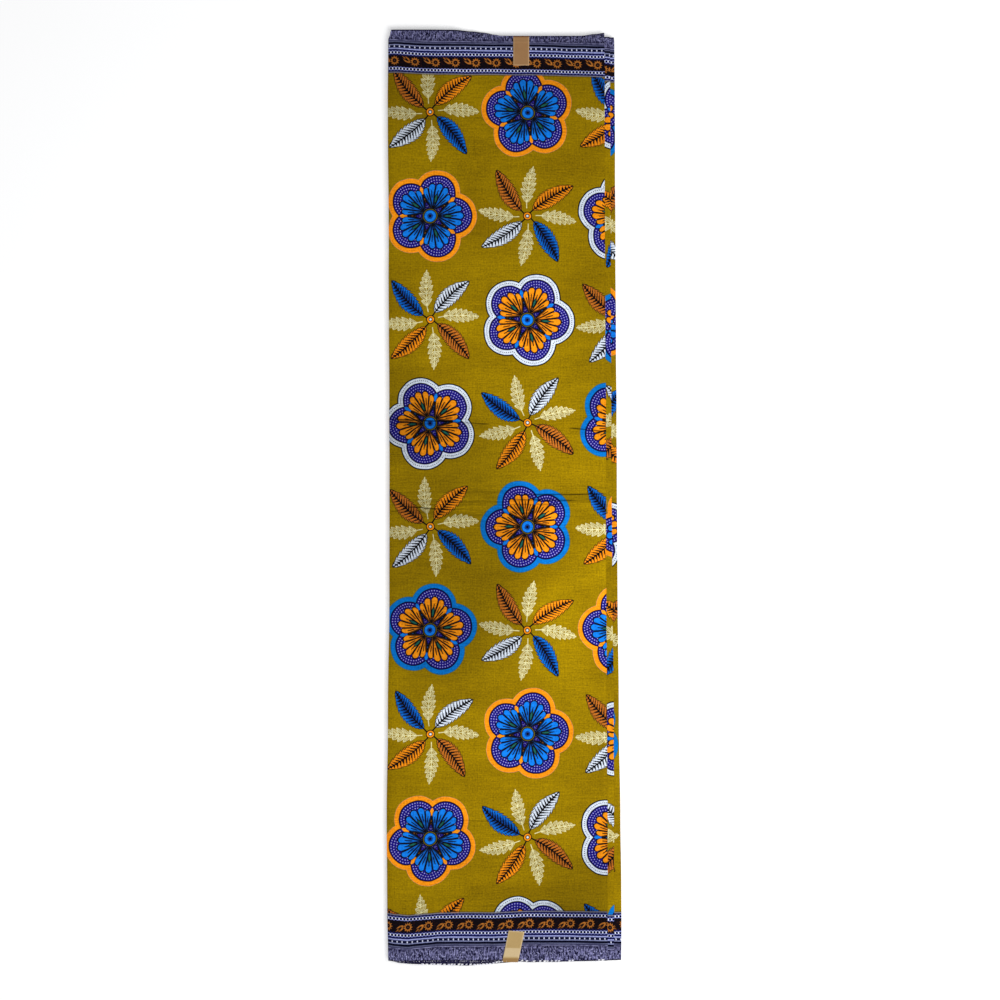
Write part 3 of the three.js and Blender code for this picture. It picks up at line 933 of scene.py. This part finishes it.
def crease_painted_shade(u, v):
    """Painted shade along the pressed creases on the top panel, a dark line with a soft band beside it: 1
    away from them.
    """
    wander = grain_of(u, v, 0.03, 0.03, z=11.0)
    breaks = grain_of(u, v, 0.05, 0.05, z=13.0)
    dark = None
    for crease in CREASES:
        run_x, run_y, span = crease_run(crease)
        across_x = -u - crease["from_x"]
        across_y = v - crease["from_y"]
        along = (across_x * run_x + across_y * run_y) / span
        away = across_y - along * run_y + (wander - 0.5) * 1.6
        fade = (along * 7.0).share() * ((1.0 - along) * 7.0).share()
        line = (1.0 - abs(away) / 1.5).share()
        soft = (1.0 - abs(away + 4.5) / 6.5).share()
        mark = (line * 0.85 * (breaks * 1.3 + 0.25).share() + soft * 0.26) * fade * crease["height"]
        dark = mark if dark is None else dark + mark
    return flip(dark.share())


# Broad patches of painted light and painted shade on the top panel, paler or darker where lamps would make it
# so, and a band of fine streaks by its creases.
PAINTED_LIGHT_PATCHES = table("x y reach_x reach_y change", [
    (-72, -75, 125, 255, -0.24), (86, -70, 90, 240, 0.24), (-132, 108, 54, 84, -0.26),
    (50, 215, 66, 84, 0.18), (58, 92, 56, 60, 0.16), (-125, 505, 80, 90, -0.20),
    (108, -495, 84, 66, -0.24), (118, -18, 40, 34, -0.16), (70, 515, 130, 62, -0.13),
    (20, 592, 240, 28, -0.18), (100, 590, 90, 28, -0.18), (-10, 190, 110, 120, 0.10),
    (-20, -310, 120, 130, 0.13), (0, -540, 260, 70, -0.14),
])
SELVEDGE_LINE = 1.7
SECOND_SELVEDGE = 5.4
STREAK_MIDDLE = -10.0
STREAK_REACH = 34.0


def painted_light_and_streaks(u, v):
    """Painted light and painted shade in broad patches, and fine streaks by the creases: a factor of about 1
    on the cloth's colour.
    """
    tone = None
    for patch in PAINTED_LIGHT_PATCHES:
        away = length_of((u + patch["x"]) / patch["reach_x"], (v - patch["y"]) / patch["reach_y"])
        share = ((1.0 - away) * 1.7).share()
        part = share * share * (3.0 - 2.0 * share) * patch["change"]
        tone = part if tone is None else tone + part
    streaks = grain_of(u, v, 0.012, 0.26, z=17.0, detail=3.0)
    near = (1.0 - abs(v - STREAK_MIDDLE) / STREAK_REACH).share()
    return 1.0 + tone + (streaks - 0.5) * near * 1.3


def print_colour(u, v, rim):
    """The whole print's colour over the cloth's own coordinates, in millimetres."""
    wander_x = grain_of(u, v, 0.028, 0.028, detail=3.0)
    wander_y = grain_of(u, v, 0.028, 0.028, z=5.0, detail=3.0)
    x = u + (wander_x - 0.5) * 3.4
    y = v + (wander_y - 0.5) * 3.4
    border_y = v + (wander_y - 0.5) * 1.6

    paint = Paint(u.tree, OLIVE)
    cloud = grain_of(u, v, 0.009, 0.013, z=2.0, detail=3.0)
    paint.over(ramp(cloud, 0.40, 2.6) * 0.75, OLIVE_DARK)

    across = (x + CELL_SHIFT_X) / CELL_X
    column = (across + 0.5).floor()
    cell_x = (across - column) * CELL_X
    along = (y + CELL_SHIFT_Y) / CELL_Y
    row = (along + 0.5).floor()
    cell_y = (along - row) * CELL_Y
    is_spray = (column + row).modulo(2.0)

    sprays = paint.branch()
    spray_turn = ((row * 1.7 + column * 2.9).sin()) * 0.20
    spray_x, spray_y = turned(cell_x, cell_y, spray_turn)
    cream_sprig(spray_x, spray_y, sprays)
    leaf_spray(spray_x, spray_y, (row - column).modulo(4.0), sprays)
    discs(length_of(spray_x, spray_y), SPRAY_CORE, sprays)

    flowers = paint.branch()
    kind = (row * 0.5 + column * 0.5).modulo(3.0).floor()
    flower_x, flower_y = turned(cell_x, cell_y, row * 0.9 + column * 1.7)
    rosette(flower_x / ROSETTE_SCALE, flower_y / ROSETTE_SCALE, kind, flowers)
    flowers.over(is_spray, sprays)
    paint.socket = flowers.socket

    upper_out = (border_y - UPPER_BORDER_Y) / UPPER_STRETCH
    out = upper_out.most((LOWER_BORDER_Y - border_y) / LOWER_STRETCH)
    border(border_y.below(0.0) * LOWER_BORDER_SHIFT - x, out, paint)
    # Dark rims along every layer's selvedge, wider on the second layer where it peeks out under the top
    # panel: partly the cloth's own dark selvedge, partly painted shade under the edges.
    paint.over(inside(SELVEDGE_LINE - rim, 0.9) * 0.9, SELVEDGE_INK_AND_SHADE)
    paint.over(inside(SECOND_SELVEDGE - rim, 0.9) * band(u, 150.0, 400.0) * 0.92, SELVEDGE_INK_AND_SHADE)
    return paint.socket


# ---- Materials ----
YARN_PITCH = 0.37
FLOOR_GLOW = 0.42


def new_material(name):
    material = bpy.data.materials.new(name)
    material.use_nodes = True
    tree = material.node_tree
    tree.nodes.clear()
    output = tree.nodes.new("ShaderNodeOutputMaterial")
    shader = tree.nodes.new("ShaderNodeBsdfPrincipled")
    tree.links.new(shader.outputs[0], output.inputs["Surface"])
    return material, tree, shader


def map_in_millimetres(tree, layer):
    """The two coordinates of a UV map that is kept in metres."""
    uv = tree.nodes.new("ShaderNodeUVMap")
    uv.uv_map = layer
    split = tree.nodes.new("ShaderNodeSeparateXYZ")
    tree.links.new(uv.outputs[0], split.inputs[0])
    return Wire(tree, split.outputs[0]) * 1000.0, Wire(tree, split.outputs[1]) * 1000.0


def scaled_colour(tree, colour, factor):
    """A colour multiplied by a value that lies around 1."""
    node = tree.nodes.new("ShaderNodeVectorMath")
    node.operation = "SCALE"
    tree.links.new(colour, node.inputs[0])
    tree.links.new(factor.socket, node.inputs["Scale"])
    return node.outputs[0]


def add_bump(tree, shader, height, distance, strength):
    bump = tree.nodes.new("ShaderNodeBump")
    bump.inputs["Distance"].default_value = distance * MM
    bump.inputs["Strength"].default_value = strength
    tree.links.new(height.socket, bump.inputs["Height"])
    tree.links.new(bump.outputs[0], shader.inputs["Normal"])


def cloth_material():
    material, tree, shader = new_material("wax_print_cotton")
    u, v = map_in_millimetres(tree, "cloth")
    rim, _ = map_in_millimetres(tree, "rim")
    colour = print_colour(u, v, rim)

    slub = grain_of(u, v, 0.045, 0.75, detail=3.0, roughness=0.6)
    warp = grain_of(u, v, 0.75, 0.04, z=3.0)
    grain = grain_of(u, v, 0.5, 0.5, z=6.0)
    rumple = grain_of(u, v, 0.010, 0.045, z=8.0, detail=3.0)
    tone = 1.0 + (slub - 0.5) * 0.95 + (warp - 0.5) * 0.45 + (grain - 0.5) * 1.15 + (rumple - 0.5) * 0.45
    # Painted shade along the creases darkens the print, and broad patches of painted light and painted shade
    # make it paler or darker.
    tone = tone * crease_painted_shade(u, v) * painted_light_and_streaks(u, v)
    tree.links.new(scaled_colour(tree, colour, tone), shader.inputs["Base Color"])

    weft_turn, warp_turn = v * (math.pi / YARN_PITCH), u * (math.pi / YARN_PITCH)
    over = warp_turn.cos() * weft_turn.cos()
    weave = abs(weft_turn.sin()) * 0.5 + abs(warp_turn.sin()) * 0.5 + over * 0.2
    add_bump(tree, shader, weave * 0.35 + slub * 0.9 + grain * 0.3 + rumple * 6.0, 0.10, 0.55)
    set_inputs(shader, {"Roughness": 0.82, "Specular IOR Level": 0.05})
    return material


def tape_material(name, look):
    """Brown paper tape: fibres, paler cut edges, a painted highlight on the bend near its low end, and
    painted shade where it turns over the stack's end.
    """
    material, tree, shader = new_material(name)
    u, v = map_in_millimetres(tree, "tape")
    fibres = grain_of(u, v, 0.25, 1.3, detail=4.0, roughness=0.7)
    blotch = grain_of(u, v, 0.09, 0.09, z=2.0)
    specks = grain_of(u, v, 1.3, 1.3, z=8.0, detail=1.0)
    paint = Paint(tree, look["body"])
    paint.over(ramp(blotch, 0.35, 1.6) * 0.45, look["patch"])
    # Painted highlight on the tape where it bends down towards the stack's end.
    painted_bend_highlight = ((v - look["bend"]) / 1.6).share() * ((look["lip"] - v) / 2.0).share()
    paint.over(painted_bend_highlight * look["wear"], look["pale"])
    edge = (abs(u) - TAPE_WIDTH / 2 + 1.3).most(1.1 - v)
    paint.over(inside(edge, 0.6) * 0.75, look["pale"])
    # Painted shade where the tape turns over the stack's end.
    paint.over(((v - look["lip"]) / 1.2).share() * 0.8, look["dark"])
    paint.over(ramp(specks, 0.62, 6.0) * 0.35, srgb(104, 76, 44))
    tone = 1.0 + (fibres - 0.5) * 0.24
    tree.links.new(scaled_colour(tree, paint.socket, tone), shader.inputs["Base Color"])
    add_bump(tree, shader, fibres + specks * 0.3, 0.05, 0.5)
    set_inputs(shader, {"Roughness": 0.6, "Specular IOR Level": 0.2})
    return material


def grain_in_space(tree, scale):
    """A noise texture over an object's own space."""
    place = tree.nodes.new("ShaderNodeTexCoord")
    node = tree.nodes.new("ShaderNodeTexNoise")
    node.inputs["Scale"].default_value = scale
    tree.links.new(place.outputs["Object"], node.inputs["Vector"])
    return Wire(tree, node.outputs[0])


def yarn_material():
    material, tree, shader = new_material("loose_yarn")
    paint = Paint(tree, srgb(214, 214, 234))
    paint.over(((grain_in_space(tree, 260.0) - 0.42) * 6.0).share(), srgb(248, 248, 252))
    tree.links.new(paint.socket, shader.inputs["Base Color"])
    set_inputs(shader, {"Roughness": 0.9, "Sheen Weight": 0.3})
    return material


def floor_material():
    material, tree, shader = new_material("pale_floor")
    paint = Paint(tree, srgb(236, 236, 236))
    paint.over(grain_in_space(tree, 3.0), srgb(240, 240, 240))
    tree.links.new(paint.socket, shader.inputs["Base Color"])
    set_inputs(shader, {"Roughness": 0.9, "Specular IOR Level": 0.1})
    set_inputs(shader, {"Emission Color": (1, 1, 1, 1), "Emission Strength": FLOOR_GLOW})
    return material


# ---- Tapes and loose yarns ----
TAPE_WIDTH = 20.0
TAPE_THICKNESS = 0.25
TAPE_CLEARANCE = 0.2
TAPE_FOOT = 24.0
TAPE_FOOT_HEIGHT = 0.3
TAPE_FOOT_TURN = 1.2
TAPE_ACROSS = 16
TAPE_ALONG = 40
TAPES = table("name start end corner skew ridge", [
    ("tape_top", (22.2, 541.1), (22.2, 578.9), 2.4, 0.0, 30.0),
    ("tape_bottom", (16.4, -545.6), (8.2, -585.0), 1.2, -1.4, 22.0),
])
# Columns: body and blotch colours, pale colour of the cut edges and of the painted highlight, dark colour of
# the painted shade at the lip, where the highlight starts, where the shade starts, and how strong the
# highlight is.
TAPE_LOOKS = table("body patch pale dark bend lip wear", [
    (srgb(164, 122, 80), srgb(178, 136, 92), srgb(200, 164, 120), srgb(108, 64, 38), 28.0, 35.4, 0.1),
    (srgb(182, 152, 98), srgb(192, 164, 108), srgb(214, 190, 146), srgb(150, 112, 62), 21.0, 34.5, 0.85),
])


def leg_and_inward(tape):
    """Length of the tape's part on top of the cloth, and 1 or -1 for the way in from the stack's end."""
    end_y = tape["end"][1]
    return abs(end_y - tape["start"][1]), -math.copysign(1, end_y)


def tape_route(tape):
    """Stops along a tape: distance in from the stack's end, and height (None on the cloth)."""
    leg, inward = leg_and_inward(tape)
    radius = tape["corner"]
    stops = [(mix(leg, radius, i / TAPE_ALONG), None) for i in range(TAPE_ALONG)]
    x, y = tape["end"]
    top = panel_top_height(x, y + inward * radius) + TAPE_CLEARANCE
    for i in range(7):
        turn = math.pi / 2 * i / 6
        stops.append((radius * (1 - math.sin(turn)), top - radius * (1 - math.cos(turn))))
    drop = top - radius - TAPE_FOOT_HEIGHT - TAPE_FOOT_TURN
    stops += [(0.0, top - radius - drop * i / 5) for i in range(1, 6)]
    for i in range(1, 5):
        turn = math.pi / 2 * i / 4
        away = TAPE_FOOT_TURN * (1 - math.cos(turn))
        stops.append((away, TAPE_FOOT_HEIGHT + TAPE_FOOT_TURN * (1 - math.sin(turn))))
    stops += [(mix(TAPE_FOOT_TURN, TAPE_FOOT, i / 5), TAPE_FOOT_HEIGHT) for i in range(1, 6)]
    return stops


def tape_point(tape, stop, offset):
    """A point of the tape, at a stop along it and an offset from its middle line."""
    away, up = stop
    end_x, end_y = tape["end"]
    leg, inward = leg_and_inward(tape)
    x = end_x + offset
    y = end_y + inward * away
    if up is not None:
        return Vector((x, y, up))
    x += (tape["start"][0] - end_x) * away / leg
    y += tape["skew"] * offset / TAPE_WIDTH * away / leg
    if away > leg - 0.1:
        y += 0.5 * noise.noise(Vector((offset * 0.35, end_y, 4.0)))
    height = panel_top_height(x, y) + TAPE_CLEARANCE
    height += 0.10 * noise.noise(Vector((x * 0.21, y * 0.21, 2.0))) + 0.05
    height += 0.35 * math.exp(-(((leg - away - tape["ridge"]) / 1.4) ** 2))
    return Vector((x, y, height))


def tape_piece(tape):
    """A strip of paper tape over the cloth, round the stack's end and under it."""
    _, inward = leg_and_inward(tape)
    stops = tape_route(tape)
    points, coordinates = [], []
    length = 0.0
    for index, stop in enumerate(stops):
        if index:
            length += (tape_point(tape, stop, 0.0) - tape_point(tape, stops[index - 1], 0.0)).length
        for i in range(TAPE_ACROSS + 1):
            offset = TAPE_WIDTH * (i / TAPE_ACROSS - 0.5)
            points.append(tape_point(tape, stop, offset) * MM)
            coordinates.append((offset * MM, length * MM))
    faces = grid_faces(len(stops), TAPE_ACROSS + 1)
    faces = [(b, c, d, a) if inward > 0 else (a, d, c, b) for a, b, c, d in faces]
    return sheet_piece(tape["name"] + "_paper", points, faces, {"tape": coordinates}, TAPE_THICKNESS)


YARN_COUNT = 460
YARN_RADIUS = 0.16
YARN_STEPS = 4
LONG_YARN_SHARE = 0.07
STITCH_PITCH = 4.4
STITCH_RADIUS = 0.95
STITCH_FLATNESS = 0.7
STITCH_SIDES = 6
STITCH_START_X = -108.0
STITCH_END_X = 129.0


def yarn_tube(path, radius, points, faces, flatness=1.0, sides=3):
    """A thin tube along a path in millimetres, thinner towards its tip."""
    first = len(points)
    last_step = len(path) - 1
    for step, place in enumerate(path):
        ahead = path[min(step + 1, last_step)] - path[max(step - 1, 0)]
        side = Vector((-ahead.y, ahead.x, 0)).normalized()
        thickness = radius * (1 - 0.55 * (step / last_step) ** 2)
        for corner in range(sides):
            turn = 2 * math.pi * corner / sides
            offset = side * math.cos(turn) + Vector((0, 0, flatness)) * math.sin(turn)
            points.append((place + offset * thickness) * MM)
    for step in range(last_step):
        for corner in range(sides):
            a = first + step * sides + corner
            b = first + step * sides + (corner + 1) % sides
            faces.append((a, b, b + sides, a + sides))
    faces.append(tuple(range(first + sides - 1, first - 1, -1)))
    end = first + last_step * sides
    faces.append(tuple(range(end, end + sides)))


def loose_path(rng, root, heading, length):
    """The path of a loose yarn: it bends aside and droops."""
    swerve = rng.uniform(-0.9, 0.9)
    droop = rng.uniform(0.15, 0.6)
    path = [Vector(root)]
    for step in range(1, YARN_STEPS + 1):
        share = step / YARN_STEPS
        angle = heading + swerve * share
        ahead = Vector((math.cos(angle), math.sin(angle), -droop * share))
        place = path[-1] + ahead * (length / YARN_STEPS)
        place.z = max(place.z, YARN_RADIUS * 1.5)
        path.append(place)
    return path


def stitch_path(rng, x):
    """The path of a slanted loop that binds the lower selvedge."""
    layer = 1 if look_up(END_ROWS, "peek", x) > 1.0 else 0
    edge = lower_edge(x, layer)
    reach = rng.uniform(0.2, 1.0)
    slant = rng.uniform(2.4, 3.6)
    path = []
    for step in range(5):
        share = step / 4
        y = edge + 1.1 + reach * share
        z = layer_height(layer, x, y) + 0.4 + 0.3 * math.sin(math.pi * share)
        path.append(Vector((x + slant * share, y, z)))
    return path


def fringe():
    """Binding loops and frayed yarns of the lower selvedges, and a few yarns at the upper one."""
    rng = random.Random(SEED + 1)
    points, faces = [], []
    x = STITCH_START_X
    while x < STITCH_END_X:
        if rng.random() < (0.9 if x < 0 else 0.55):
            thickness = STITCH_RADIUS * rng.uniform(0.85, 1.2)
            yarn_tube(stitch_path(rng, x), thickness, points, faces, STITCH_FLATNESS, STITCH_SIDES)
        x += STITCH_PITCH * rng.uniform(0.7, 1.3)
    for _ in range(YARN_COUNT):
        x = rng.uniform(-145, 130)
        layer = rng.choice((0, 1))
        edge = lower_edge(x, layer)
        root = (x, edge + rng.uniform(0.2, 1.2), layer_height(layer, x, edge + 1) + 0.1)
        long_one = rng.random() < LONG_YARN_SHARE
        length = rng.uniform(2.5, 4.5) if long_one else rng.uniform(0.8, 2.2)
        heading = math.radians(-90 + rng.uniform(-55, 55))
        yarn_tube(loose_path(rng, root, heading, length), YARN_RADIUS, points, faces)
    for _ in range(YARN_COUNT // 6):
        x = rng.uniform(-145, 128)
        out, down = hang_over(upper_tip(0, 0.0, x) - SELVEDGE_BEND_Y, x)
        root = (x, SELVEDGE_BEND_Y + out - 0.5, layer_height(0, x, SELVEDGE_BEND_Y) - down)
        heading = math.radians(90 + rng.uniform(-50, 50))
        yarn_tube(loose_path(rng, root, heading, rng.uniform(0.7, 1.6)), YARN_RADIUS, points, faces)
    return new_piece("frayed_yarns", points, faces)


# ---- Floor, light and camera ----
PHOTO_PIXELS = 1000
PIXEL_SIZE = 1.2554
OBJECT_MIDDLE_PIXEL = (503.5, 496.5)
LENS = 85.0
SENSOR = 36.0
FLOOR_SIZE = 14
SKY_COLOUR = (0.97, 0.98, 1.0, 1)
SKY_STRENGTH = 0.34
LAMPS = table("name place aim size power", [
    ("key", (0.9, -1.4, 3.0), (0, 0, 0), 1.7, 41),
    ("side", (0.7, -0.15, 0.95), (0.05, -0.1, 0), 0.8, 7.2),
])


def add_floor():
    bpy.ops.mesh.primitive_plane_add(size=FLOOR_SIZE, location=(0, 0, 0))
    floor = bpy.context.object
    floor.name = "floor"
    floor.data.materials.append(floor_material())


def add_light(name, place, aim, size, power):
    data = bpy.data.lights.new(name, "AREA")
    data.shape = "DISK"
    data.size = size
    data.energy = power
    light = linked(name, data)
    light.location = place
    light.rotation_euler = (Vector(aim) - Vector(place)).to_track_quat("-Z", "Y").to_euler()


def add_world():
    world = bpy.data.worlds.new("studio")
    world.use_nodes = True
    background = world.node_tree.nodes["Background"]
    set_inputs(background, {"Color": SKY_COLOUR, "Strength": SKY_STRENGTH})
    bpy.context.scene.world = world


def add_camera():
    data = bpy.data.cameras.new("camera")
    data.lens = LENS
    data.sensor_width = SENSOR
    camera = linked("camera", data)
    frame_width = PHOTO_PIXELS * PIXEL_SIZE
    distance = frame_width * LENS / SENSOR
    x = (PHOTO_PIXELS / 2 - OBJECT_MIDDLE_PIXEL[0]) * PIXEL_SIZE
    y = (OBJECT_MIDDLE_PIXEL[1] - PHOTO_PIXELS / 2) * PIXEL_SIZE
    camera.location = Vector((x, y, distance + STACK_HEIGHT)) * MM
    bpy.context.scene.camera = camera


# ---- Making ----
rng = random.Random(SEED)
SHARES = layer_shares(rng)
TURN_LIST = all_turns(rng)

add_camera()

upper_cloth = cloth_mesh("cloth_upper_panels", 0, UPPER_LAYERS - 1, COARSE_ROW, CREASE_BANDS, 0.0)
lower_cloth = cloth_mesh(
    "cloth_lower_panels", UPPER_LAYERS, LAYER_COUNT - 1, HIDDEN_COARSE_ROW, [], HIDDEN_PRINT_START,
)
cotton = cloth_material()
for cloth in (upper_cloth, lower_cloth):
    cloth.data.materials.append(cotton)
    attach(cloth, "root")
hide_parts("panel_top", "fold_second", "fold_third")
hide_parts("layers_hidden")

for tape, look in zip(TAPES, TAPE_LOOKS):
    paper = tape_piece(tape)
    paper.data.materials.append(tape_material(tape["name"] + "_kraft", look))
    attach(paper, "root")
    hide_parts(tape["name"])

yarns = fringe()
yarns.data.materials.append(yarn_material())
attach(yarns, "root")

add_floor()
add_world()
for lamp in LAMPS:
    add_light(**lamp)
view = bpy.context.scene.view_settings
view.view_transform = "Standard"
view.look = "None"
